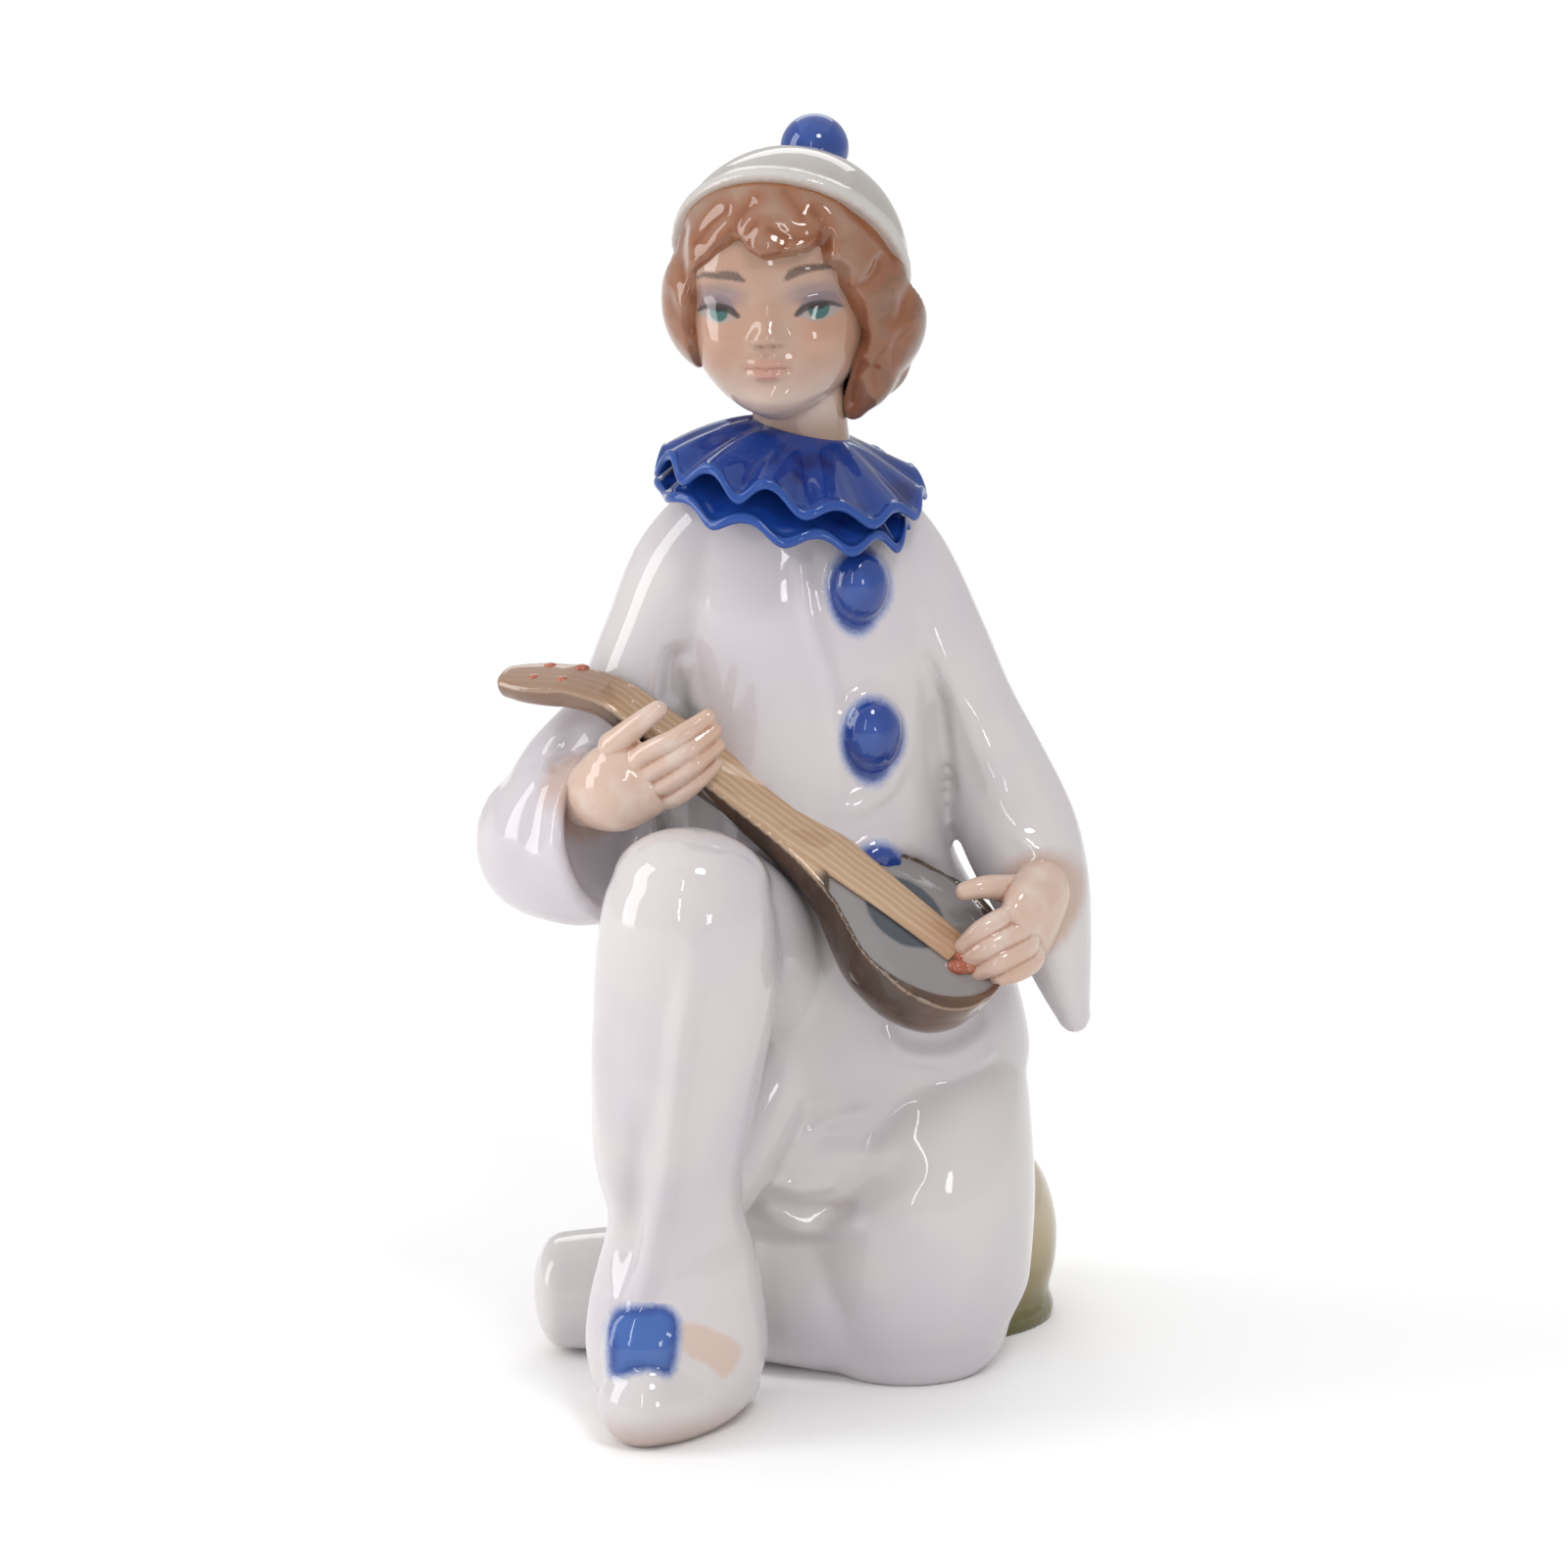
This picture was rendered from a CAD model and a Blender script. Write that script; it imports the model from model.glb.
"""The looks of the clown figurine: glazed porcelain with underglaze colours.

The forms are modelled in figure millimetres: x to the viewer's right, -y towards the
viewer, z up from the ground, on a figure 205 mm tall. Most pieces are a heap of lofts and balls
that a voxel remesh fuses into one skin, and the thin ones keep the faces they are built
with. Folds are pressed into a skin, and each colour is a distance field on it, which the
piece's glaze turns into paint.
"""

import math

import bmesh
import bpy
import numpy as np
from mathutils import Matrix, Vector


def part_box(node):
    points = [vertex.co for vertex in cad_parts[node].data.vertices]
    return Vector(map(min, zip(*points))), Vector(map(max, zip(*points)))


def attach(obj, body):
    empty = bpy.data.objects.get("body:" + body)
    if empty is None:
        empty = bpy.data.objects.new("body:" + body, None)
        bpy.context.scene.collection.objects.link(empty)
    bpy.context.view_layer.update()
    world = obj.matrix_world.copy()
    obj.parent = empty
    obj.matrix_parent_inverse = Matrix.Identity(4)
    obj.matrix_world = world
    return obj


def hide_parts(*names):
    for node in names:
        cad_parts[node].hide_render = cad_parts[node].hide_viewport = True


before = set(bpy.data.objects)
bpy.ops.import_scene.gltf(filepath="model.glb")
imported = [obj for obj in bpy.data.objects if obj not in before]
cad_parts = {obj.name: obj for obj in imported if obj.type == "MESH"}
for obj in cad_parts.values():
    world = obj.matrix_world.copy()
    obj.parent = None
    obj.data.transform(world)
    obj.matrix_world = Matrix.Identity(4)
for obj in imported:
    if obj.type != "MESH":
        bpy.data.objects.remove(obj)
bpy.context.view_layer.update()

NODE = "clown_figurine"
FIGURE_TALL = 205.0
NODE_LOW, NODE_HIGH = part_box(NODE)
UNIT = (NODE_HIGH.z - NODE_LOW.z) / FIGURE_TALL
BOX_MIDDLE = np.array((0.04, 1.54, 0))

X_AXIS, Y_AXIS, Z_AXIS = Vector((1, 0, 0)), Vector((0, 1, 0)), Vector((0, 0, 1))

# The photograph's view: a long lens, a little above the figure.
VIEW_HEIGHT = 99.0
VIEW_RISE = math.radians(14)
VIEW_DISTANCE = 1150.0
PIXELS_PER_MM = 6.3
FRAME_PIXELS = 1600
SENSOR = 36.0


# Curves and skins

def catmull_rom(rows, steps):
    """A smooth run of rows through the given rows, ends included."""
    rows = [np.array(row, float) for row in rows]
    padded = [2 * rows[0] - rows[1], *rows, 2 * rows[-1] - rows[-2]]
    smooth = []
    for before, start, end, after in zip(padded, padded[1:], padded[2:], padded[3:]):
        for step in range(steps):
            t = step / steps
            bend = 2 * before - 5 * start + 4 * end - after
            twist = 3 * start - before - 3 * end + after
            smooth.append(0.5 * (2 * start + (end - before) * t + bend * t**2 + twist * t**3))
    return [*smooth, rows[-1]]


def ring_points(centre, across, up, half_width, low, high, count, corner=1.0):
    """An ellipse round centre; a corner below 1 squares it off."""
    points = []
    for step in range(count):
        angle = 2 * math.pi * step / count
        reach = high if math.sin(angle) > 0 else low
        wide = math.copysign(abs(math.cos(angle)) ** corner, math.cos(angle))
        tall = math.copysign(abs(math.sin(angle)) ** corner, math.sin(angle))
        points.append(centre + across * (half_width * wide) + up * (reach * tall))
    return points


def skin_rings(bm, rings):
    """Closes a run of rings into a tube with a pole at each end."""
    loops = [[bm.verts.new(point) for point in ring] for ring in rings]
    count = len(loops[0])
    for near, far in zip(loops, loops[1:]):
        for i in range(count):
            j = (i + 1) % count
            bm.faces.new((near[i], near[j], far[j], far[i]))
    for loop, flipped in ((loops[0], True), (loops[-1], False)):
        pole = bm.verts.new(sum((v.co for v in loop), Vector()) / count)
        for i in range(count):
            j = (i + 1) % count
            corners = (loop[j], loop[i], pole) if flipped else (loop[i], loop[j], pole)
            bm.faces.new(corners)


def loft(bm, sections, side=X_AXIS, caps=(1, 1), count=28, corner=1.0, steps=6):
    """A limb through sections of (x, y, z, half width, depth[, other depth])."""
    cap_rings = 6
    full = [row if len(row) == 6 else (*row, row[4]) for row in sections]
    rows = catmull_rom(full, steps)
    centres = [Vector(row[:3]) for row in rows]
    rings = []
    for index, row in enumerate(rows):
        ahead = centres[min(index + 1, len(rows) - 1)]
        behind = centres[max(index - 1, 0)]
        along = (ahead - behind).normalized()
        across = (side - along * side.dot(along)).normalized()
        sizes = [max(value, 0.05) for value in row[3:]]
        rings.append((centres[index], along, across, along.cross(across), sizes))
    outlines = []
    for end, length in ((0, -caps[0]), (-1, caps[1])):
        centre, along, across, up, sizes = rings[end]
        rounded = []
        for step in range(1, cap_rings + 1):
            angle = 0.5 * math.pi * step / (cap_rings + 0.6)
            shifted = centre + along * (length * min(sizes) * math.sin(angle))
            scaled = [size * math.cos(angle) for size in sizes]
            rounded.append(ring_points(shifted, across, up, *scaled, count, corner))
        outlines.append(rounded)
    body = [ring_points(c, a, u, *s, count, corner) for c, _, a, u, s in rings]
    skin_rings(bm, [*reversed(outlines[0]), *body, *outlines[1]])


def hoop(bm, loops):
    """Closes a run of closed loops round on itself, like the skin of a ring."""
    rings = [[bm.verts.new(point) for point in loop] for loop in loops]
    size = len(rings[0])
    for turn, here in enumerate(rings):
        there = rings[(turn + 1) % len(rings)]
        for i in range(size):
            j = (i + 1) % size
            bm.faces.new((here[i], here[j], there[j], there[i]))


def ball(bm, centre, radii, tilt=(0, 0, 0)):
    """An ellipsoid of clay; tilt is its turn about X, Y and Z in degrees."""
    turn = Matrix.Identity(3)
    for axis, angle in zip("XYZ", tilt):
        turn = Matrix.Rotation(math.radians(angle), 3, axis) @ turn
    place = Matrix.Translation(Vector(centre)) @ turn.to_4x4()
    size = Matrix.Diagonal((*radii, 1))
    bmesh.ops.create_icosphere(bm, subdivisions=5, radius=1.0, matrix=place @ size)


# Skins as arrays

def read(items, name, width=3):
    """One attribute of a mesh's items as an array."""
    values = np.empty(len(items) * width)
    items.foreach_get(name, values)
    return values.reshape(-1, width)


def smoothstep(low, high, values):
    """0 below low, 1 above high, and smooth between."""
    t = np.clip((values - low) / (high - low), 0, 1)
    return t * t * (3 - 2 * t)


def seen(points):
    """Where points show in the photograph, in millimetres at the figure's axis."""
    x, y, z = points[:, 0], points[:, 1], points[:, 2]
    back = y + VIEW_DISTANCE * math.cos(VIEW_RISE)
    rise = z - VIEW_HEIGHT - VIEW_DISTANCE * math.sin(VIEW_RISE)
    depth = back * math.cos(VIEW_RISE) - rise * math.sin(VIEW_RISE)
    up = back * math.sin(VIEW_RISE) + rise * math.cos(VIEW_RISE)
    scale = VIEW_DISTANCE / depth
    return np.stack([x * scale, VIEW_HEIGHT + up * scale], 1)


def near_path(points, path, steps=8):
    """Each point's distance to a smooth path, and how far along the path it is, 0 to 1."""
    rows = np.array(catmull_rom(path, steps))
    best = np.full(len(points), 1e9)
    share = np.zeros(len(points))
    spans = len(rows) - 1
    for index, (start, end) in enumerate(zip(rows, rows[1:])):
        step = end - start
        t = np.clip((points - start) @ step / (step @ step), 0, 1)
        gap = np.linalg.norm(points - start - t[:, None] * step, axis=1)
        closer = gap < best
        best = np.where(closer, gap, best)
        share = np.where(closer, (index + t) / spans, share)
    return best, share


def inside(points, loop, steps=6):
    """How far inside a closed smooth loop in the view each point is; below 0 outside."""
    rows = np.array(catmull_rom([*loop, loop[0]], steps))
    gap, _ = near_path(points, [*loop, loop[0]], steps)
    crossings = np.zeros(len(points), bool)
    x, y = points.T
    for (x0, y0), (x1, y1) in zip(rows, rows[1:]):
        spans = (y0 > y) != (y1 > y)
        where = x0 + (y - y0) * (x1 - x0) / (y1 - y0 if y1 != y0 else 1e-9)
        crossings ^= spans & (x < where)
    return np.where(crossings, gap, -gap)


class Skin:
    """A fused piece: its mesh, and its points in figure millimetres."""

    def __init__(self, mesh):
        self.mesh = mesh
        self.points = read(mesh.vertices, "co")
        self.edges = read(mesh.edges, "vertices", 2).astype(int)

    def normals(self):
        self.mesh.vertices.foreach_set("co", self.points.ravel())
        self.mesh.update()
        return read(self.mesh.vertex_normals, "vector")

    def relaxed(self, values, passes):
        """Values averaged over their neighbours, again and again."""
        ends = np.concatenate([self.edges[:, 0], self.edges[:, 1]])
        others = np.concatenate([self.edges[:, 1], self.edges[:, 0]])
        total = len(values)
        count = np.maximum(np.bincount(ends, minlength=total), 1)[:, None]
        for _ in range(passes):
            columns = [np.bincount(ends, column[others], total) for column in values.T]
            values = 0.5 * values + 0.5 * np.stack(columns, 1) / count
        return values

    def press(self, amount):
        """Moves the points along their normals by amount, in millimetres."""
        self.points = self.points + self.normals() * amount[:, None]

    def stroke(self, path, width, height, front=(-99, 99), taper=0.25):
        """Raises, or with a height below 0 sinks, a fold along a path in the view."""
        facing = smoothstep(-0.1, 0.25, -self.normals()[:, 1])
        gap, share = near_path(seen(self.points), path)
        profile = np.clip(1 - (gap / width) ** 2, 0, 1) ** 2
        ends = smoothstep(0, taper, share) * smoothstep(0, taper, 1 - share)
        y = self.points[:, 1]
        within = (y > front[0]) & (y < front[1])
        self.press(height * profile * ends * facing * within)

    def hollow(self, passes):
        """How deep each point lies under the smoothed skin; ridges are below 0."""
        gap = self.relaxed(self.points, passes) - self.points
        return np.einsum("ij,ij->i", gap, self.normals())

    def field(self, name, values):
        """Keeps a value for each point, for the glaze to read."""
        layer = self.mesh.attributes.new(name, "FLOAT", "POINT")
        layer.data.foreach_set("value", np.asarray(values, np.float32))


def largest_shell(bm):
    """Deletes all shells but the largest one."""
    unseen, shells = set(bm.verts), []
    while unseen:
        stack, shell = [unseen.pop()], []
        while stack:
            vertex = stack.pop()
            shell.append(vertex)
            for edge in vertex.link_edges:
                other = edge.other_vert(vertex)
                if other in unseen:
                    unseen.remove(other)
                    stack.append(other)
        shells.append(shell)
    shells.sort(key=len)
    for shell in shells[:-1]:
        bmesh.ops.delete(bm, geom=shell, context="VERTS")


def fuse(bm, voxel, passes):
    """Sponges the clay together: voxel remesh, smoothing, one shell."""
    bmesh.ops.recalc_face_normals(bm, faces=bm.faces)
    clay = bpy.data.objects.new("clay", bpy.data.meshes.new("clay"))
    bm.to_mesh(clay.data)
    bm.free()
    bpy.context.scene.collection.objects.link(clay)
    remesh = clay.modifiers.new("fuse", "REMESH")
    remesh.mode = "VOXEL"
    remesh.voxel_size = voxel
    smooth = clay.modifiers.new("sponge", "SMOOTH")
    smooth.factor = 0.5
    smooth.iterations = passes
    graph = bpy.context.evaluated_depsgraph_get()
    mesh = bpy.data.meshes.new_from_object(clay.evaluated_get(graph), depsgraph=graph)
    bpy.data.objects.remove(clay)
    fused = bmesh.new()
    fused.from_mesh(mesh)
    largest_shell(fused)
    fused.to_mesh(mesh)
    fused.free()
    return Skin(mesh)


def shaped(bm):
    """A skin that keeps its faces as they were built."""
    bmesh.ops.recalc_face_normals(bm, faces=bm.faces)
    mesh = bpy.data.meshes.new("shaped")
    bm.to_mesh(mesh)
    bm.free()
    return Skin(mesh)


def show(skin, name, material):
    """Puts a finished skin into the frame as a piece that stands for the figurine."""
    placed = (skin.points - BOX_MIDDLE) * UNIT
    placed[:, 2] = np.maximum(placed[:, 2], 0)
    skin.mesh.vertices.foreach_set("co", placed.ravel())
    skin.mesh.polygons.foreach_set("use_smooth", [True] * len(skin.mesh.polygons))
    skin.mesh.update()
    skin.mesh.name = name
    skin.mesh.materials.append(material)
    piece = bpy.data.objects.new(name, skin.mesh)
    bpy.context.scene.collection.objects.link(piece)
    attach(piece, "root")
    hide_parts(NODE)
    return piece


# Glazes

def colour(red, green, blue):
    """A colour given as it shows on a screen, 0 to 255, in the shader's linear terms."""
    shares = [value / 255 for value in (red, green, blue)]
    return (*[s / 12.92 if s < 0.04 else ((s + 0.055) / 1.055) ** 2.4 for s in shares], 1)


class Glaze:
    """A glaze built from shader nodes: a ground colour with painted layers over it."""

    def __init__(self, name, ground):
        self.material = bpy.data.materials.new(name)
        self.material.use_nodes = True
        self.tree = self.material.node_tree
        self.shader = self.tree.nodes["Principled BSDF"]
        self.place = self.tree.nodes.new("ShaderNodeTexCoord").outputs["Object"]
        self.paint = colour(*ground)
        self.shader.inputs["IOR"].default_value = 1.52
        self.shader.inputs["Coat Weight"].default_value = 0.2
        self.shader.inputs["Coat Roughness"].default_value = 0.03
        self.shader.inputs["Coat IOR"].default_value = 1.5

    def node(self, kind, **settings):
        made = self.tree.nodes.new(kind)
        for name, value in settings.items():
            setattr(made, name, value)
        return made

    def link(self, source, target):
        if isinstance(source, bpy.types.NodeSocket):
            self.tree.links.new(source, target)
        else:
            target.default_value = source

    def math(self, operation, first, second=0.0):
        made = self.node("ShaderNodeMath", operation=operation)
        self.link(first, made.inputs[0])
        self.link(second, made.inputs[1])
        return made.outputs[0]

    def field(self, name):
        """A value that the skin keeps for each point."""
        return self.node("ShaderNodeAttribute", attribute_name=name).outputs["Fac"]

    def noise(self, size_mm, detail=3.0):
        """Cloudy noise about 0, with features of a size in millimetres."""
        made = self.node("ShaderNodeTexNoise")
        self.link(self.place, made.inputs["Vector"])
        made.inputs["Scale"].default_value = 1 / (size_mm * UNIT)
        made.inputs["Detail"].default_value = detail
        return self.math("SUBTRACT", made.outputs["Fac"], 0.5)

    def ramp(self, value, low, high):
        """0 at low, 1 at high, and smooth between."""
        made = self.node("ShaderNodeMapRange", interpolation_type="SMOOTHSTEP")
        self.link(value, made.inputs["Value"])
        made.inputs["From Min"].default_value = low
        made.inputs["From Max"].default_value = high
        return made.outputs["Result"]

    def layer(self, paint, share):
        """Brushes a colour over what is there."""
        made = self.node("ShaderNodeMix", data_type="RGBA")
        self.link(share, made.inputs["Factor"])
        under, over = [socket for socket in made.inputs if socket.type == "RGBA"]
        self.link(self.paint, under)
        self.link(colour(*paint), over)
        self.paint = [s for s in made.outputs if s.type == "RGBA"][0]

    def mottle(self, paint, size_mm, low, high, detail=3.0, strength=None):
        """Clouds a colour over what is there, by cloudy noise."""
        share = self.ramp(self.noise(size_mm, detail), low, high)
        self.layer(paint, self.math("MULTIPLY", share, strength) if strength else share)

    def deepen(self, paint, low, high, strength):
        """Lets a colour gather where the skin's hollow is between low and high."""
        depth = self.ramp(self.field("hollow"), low, high)
        self.layer(paint, self.math("MULTIPLY", depth, strength))

    def brush(self, name, paint, low, high, speckle=0.0, size_mm=1.2, strength=1.0):
        """Paints where a field is below high, fully below low, with a speckled edge."""
        value = self.field(name)
        if speckle:
            grain = self.math("MULTIPLY", self.noise(size_mm, 5), speckle)
            value = self.math("ADD", value, grain)
        share = self.math("MULTIPLY", self.ramp(value, high, low), strength)
        self.layer(paint, share)

    def finish(self, roughness=0.05, waviness=0.00003):
        """Joins the paint, an uneven gloss and a faint waviness to the shader."""
        self.link(self.paint, self.shader.inputs["Base Color"])
        gloss = self.math("MULTIPLY_ADD", self.noise(9), 0.05)
        gloss.node.inputs[2].default_value = roughness
        self.link(gloss, self.shader.inputs["Roughness"])
        bump = self.node("ShaderNodeBump")
        bump.inputs["Strength"].default_value = 1.0
        bump.inputs["Distance"].default_value = waviness
        waves = self.math("ADD", self.noise(6, 1), 0.5)
        self.link(waves, bump.inputs["Height"])
        self.link(bump.outputs["Normal"], self.shader.inputs["Normal"])
        return self.material


# Costume

# The buttons in the figure's space, and the middles of their paint in the view.
BUTTONS = ((12.2, -13, 134.9), (14.3, -13.6, 111), (15.4, -14.6, 87.2))
BUTTON_PAINT = ((12.4, 131.1), (14.6, 106.9), (15.6, 83.4))
BUTTON_RADIUS, BUTTON_RISE = 5, 2.6
CUFF_WALL, CUFF_DEPTH = 2.7, 3.4

# Depth ranges, front to back, that keep a fold off what lies before or behind it.
BODY, SHIN, LAP = (-19, 40), (-60, -15), (-24, 20)
# The folds: depth range, width, height, taper and path in the view.
FOLDS = (
    (BODY, 1.9, 0.7, 0.1, [(2.9, 137.7), (3.3, 130.7), (4.8, 123.6), (7.1, 116.5), (8.4, 108.5),
     (8.4, 99), (7.6, 91.1)]),
    (BODY, 2.4, -1.3, 0.25, [(-17.1, 122), (-18.1, 116.5), (-18.4, 110.9)]),
    (BODY, 1.8, 0.8, 0.25, [(-16.3, 120.9), (-14.9, 114.9), (-13.2, 109.3)]),
    (BODY, 1.8, -1.6, 0.25, [(25.1, 116.8), (25.6, 109.3), (26.3, 102.2), (27.3, 93.9)]),
    (BODY, 2.6, 0.9, 0.25, [(23, 126), (27.8, 114.9), (32.2, 103.8), (36.5, 93)]),
    (BODY, 3.6, 0.9, 0.25, [(-31.7, 116.5), (-37.3, 106.6), (-42.9, 98.2), (-45.4, 90.3),
     (-44.1, 82.3)]),
    (BODY, 2.8, -0.8, 0.25, [(-32.1, 109.3), (-36.2, 102.5), (-39.7, 94.2), (-40.3, 85.5)]),
    (BODY, 1.8, 0.6, 0.25, [(29.4, 114.9), (33.7, 105.3), (37.1, 96.6)]),
    (BODY, 3.2, 0.6, 0.25, [(32.1, 114.9), (38.1, 103), (41.6, 93.4)]),
    (BODY, 1.5, 0.6, 0.25, [(36.5, 91.1), (39.7, 89.2), (44.1, 86.3)]),
    (BODY, 2.6, 0.7, 0.25, [(7.6, 94.2), (12.7, 95.8), (16.7, 99), (19.8, 105.3)]),
    (BODY, 5.8, -2.8, 0.3, [(11, 86.5), (16.5, 84.6), (21.5, 82.6), (26, 80)]),
    (SHIN, 3.2, 2, 0.3, [(-13.3, 78.4), (-14.6, 69.6), (-16.2, 60.9), (-17.6, 48.2),
     (-19, 35.5), (-20.8, 26), (-22.2, 19.6), (-23.8, 14.6), (-23, 9.8)]),
    (SHIN, 2.6, -1, 0.25, [(-23.5, 48.2), (-23.7, 37.1), (-24.9, 26), (-26.7, 16.5)]),
    (SHIN, 2.4, 0.6, 0.25, [(-28.9, 65.7), (-29.8, 53), (-27.9, 38.7), (-26, 27.6)]),
    (LAP, 2.4, 1.2, 0.25, [(15.4, 60.9), (18.6, 55.8), (26.8, 55.3), (35.1, 60.6)]),
    (LAP, 1.8, 0.8, 0.25, [(23.2, 51.7), (29.8, 53.6), (34.9, 56.8)]),
    (LAP, 1.6, 0.7, 0.25, [(0.3, 39.6), (6.7, 44.1), (16.2, 46.6)]),
    (LAP, 5, -1.1, 0.35, [(27.4, 41.6), (15.9, 35.2), (7.9, 32), (-4, 31.4)]),
    (LAP, 1.7, 0.9, 0.25, [(-4.4, 35), (3.2, 33.6), (9.2, 34.6)]),
    (LAP, 1.6, -1.2, 0.25, [(-4.4, 31.4), (5.1, 30.1), (12.7, 31.1)]),
    (LAP, 1.7, 0.9, 0.25, [(-3.8, 27.9), (7.1, 26.9), (14.3, 29.2)]),
)


def tunic(bm):
    """Sloping shoulders and a tunic that flares to a hem over the hips."""
    loft(bm, [
        (3.2, 1, 154, 8, 7.5), (3, 1.5, 148, 13, 10.5), (2.6, 1.5, 142, 18.4, 13.4),
        (2.8, 1, 131, 21, 15.4), (3.8, 1, 117, 20.8, 16), (4.1, 1, 100, 21, 17),
        (5.2, 2, 85, 22.8, 18.6), (7, 4, 71, 27.4, 21.6), (8.2, 6.4, 60, 30.6, 24, 23.2),
        (8.6, 7.8, 53, 31.9, 25.4, 21.8), (8.6, 8, 50.5, 31.6, 25.4, 20.6),
    ], caps=(0.4, 0.08), count=72)
    ball(bm, (9, 10, 38), (30.6, 24.6, 24))
    ball(bm, (-15, 3, 95), (9.6, 9, 15))
    for x, y, z in BUTTONS:
        radii = (BUTTON_RADIUS, BUTTON_RISE + 1.4, BUTTON_RADIUS * 1.2)
        ball(bm, (x, y, z), radii, tilt=(0, 0, 38))


def sleeves(bm):
    """A wide open cuff at the viewer's left, and a hanging cuff at the right."""
    loft(bm, [
        (-6.5, 2, 143, 10, 9.5), (-14.3, 2, 133, 10.8, 10.5), (-20.6, 1.5, 121, 9.4, 10),
        (-25.6, 1, 109, 9.6, 10.5), (-32, 0.5, 99, 11.6, 11.5), (-37, 0, 90, 11.4, 12),
    ], count=48)
    cuff(
        bm,
        [
            (-41, 4, 88.6, 11, 11.6), (-38, -0.6, 89.6, 11.8, 13),
            (-33.8, -6.2, 91.4, 11.8, 14.2), (-28.1, -13, 93.6, 11, 14),
        ],
    )
    loft(bm, [
        (12, 2, 141, 9.8, 9.5), (18.2, 2.5, 133, 9.6, 10), (25, 3, 121, 8.4, 9.5),
        (29.4, 3, 111, 8.2, 9), (33.6, 2, 102, 8.8, 9), (37.9, -1, 92, 9.6, 9.5),
        (41, -4.5, 84, 8.6, 10), (43.4, -7, 76, 6.6, 9), (45.6, -9, 67.5, 4.2, 6.5),
        (46.9, -10, 63, 2.8, 4.5),
    ], count=48, caps=(1, 1.1))
    ball(bm, (25.4, 2, 105.5), (4.4, 6.5, 9))


def cuff(bm, sections, count=48, steps=6):
    """A bell of cloth whose far end turns in again, so that it stays open."""
    last = np.array(sections[-1], float)
    inward = np.array(sections[-2][:3], float) - last[:3]
    inward /= np.linalg.norm(inward)
    outer = catmull_rom(sections, steps)
    turned = [
        (-0.35 * CUFF_WALL, 0.5),
        (0.2 * CUFF_WALL, 1),
        (0.5 * CUFF_DEPTH, 1.25),
        (CUFF_DEPTH, 1.9),
    ]
    rows = list(outer)
    for reach, walls in turned:
        sizes = last[3:] - walls * CUFF_WALL
        rows.append(np.array((*(last[:3] + reach * inward), *sizes)))
    rings = []
    for index, row in enumerate(rows):
        here = min(index, len(outer) - 2)
        along = Vector(outer[here + 1][:3] - outer[here][:3]).normalized()
        up = (Z_AXIS - along * Z_AXIS.dot(along)).normalized()
        across = up.cross(along)
        rings.append(ring_points(Vector(row[:3]), across, up, row[3], row[4], row[4], count))
    skin_rings(bm, rings)


def legs(bm):
    """The raised knee at the viewer's left, and the folded leg on the ground."""
    loft(bm, [
        (-14.6, -31, 90.5, 12.6, 12), (-15, -31.5, 86, 13.9, 13.2), (-15.5, -31, 75, 14.7, 13.2),
        (-17.2, -29.5, 58, 13.5, 12.8), (-18.2, -28.5, 46, 12.4, 12),
        (-17.4, -27.5, 35.5, 10.9, 11), (-17, -27, 26.5, 13, 12.4), (-17.3, -26.5, 17, 14.6, 14),
        (-17.1, -25.5, 10, 14.6, 14), (-16.4, -24.5, 4.5, 12.6, 12.4),
    ], caps=(0.75, 0.2), count=56)
    loft(bm, [
        (-13.5, -29, 85, 12.6, 13), (-8.5, -19, 79, 12.8, 13), (-2, -7, 70, 12.2, 13),
        (4, 6, 60, 15, 14),
    ], count=40)
    loft(bm, [
        (0, -5, 70, 9.4, 9), (0.2, -7, 60, 8.8, 9), (-3.2, -9, 51, 8.6, 9), (-8, -13, 42, 8, 9),
        (-13, -18, 34, 7, 8),
    ])
    loft(bm, [
        (23, 12, 52, 16.2, 16), (23.6, 4, 43, 17, 18.6), (22.8, 0, 30, 18.6, 19.6),
        (20.6, 0.5, 18, 20, 19.6), (20, 2.6, 9, 17.6, 17),
    ], caps=(0.6, 0.75), count=56)
    loft(bm, [
        (25, 6, 48, 12, 13), (14, 0.5, 49, 14.5, 16), (2, -1, 52, 13, 14),
    ], side=Y_AXIS, count=40)
    loft(bm, [
        (20, 1, 15.5, 16, 17), (8, 1, 15, 15.6, 16), (-4, 3, 13.5, 13, 13.4),
        (-18, 7.5, 10.5, 10, 10),
    ], side=Y_AXIS, count=40)


def shoes(bm):
    """The forward shoe with its tuft, and the blunt toe of the tucked one."""
    loft(bm, [
        (-12, -20, 5, 8.8, 6.5), (-15, -28, 5.8, 9.2, 7.4), (-19.2, -34.5, 6.4, 8.8, 7.8),
        (-22.4, -38.4, 6.8, 7.8, 7.4),
    ], caps=(0.8, 0.98), count=48)
    loft(bm, [
        (-22.9, -34.5, 9, 5.6, 5.6), (-22.8, -36.5, 15, 6.2, 5.6), (-22.6, -35.4, 19.6, 5.6, 5),
    ], caps=(0.2, 0.45), count=40, corner=0.62)
    loft(bm, [
        (-18, 8, 10.4, 9.2, 10.4), (-29, 9, 10.4, 9.6, 10), (-37, 9.5, 10, 9.2, 9.4),
    ], side=Y_AXIS, caps=(0.5, 0.5), count=48, corner=0.8)


def press_folds(skin):
    """Presses in each fold: its depth range, width, height, taper and path in the view."""
    for within, width, height, taper, path in FOLDS:
        skin.stroke(path, width, height, within, taper)


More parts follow.
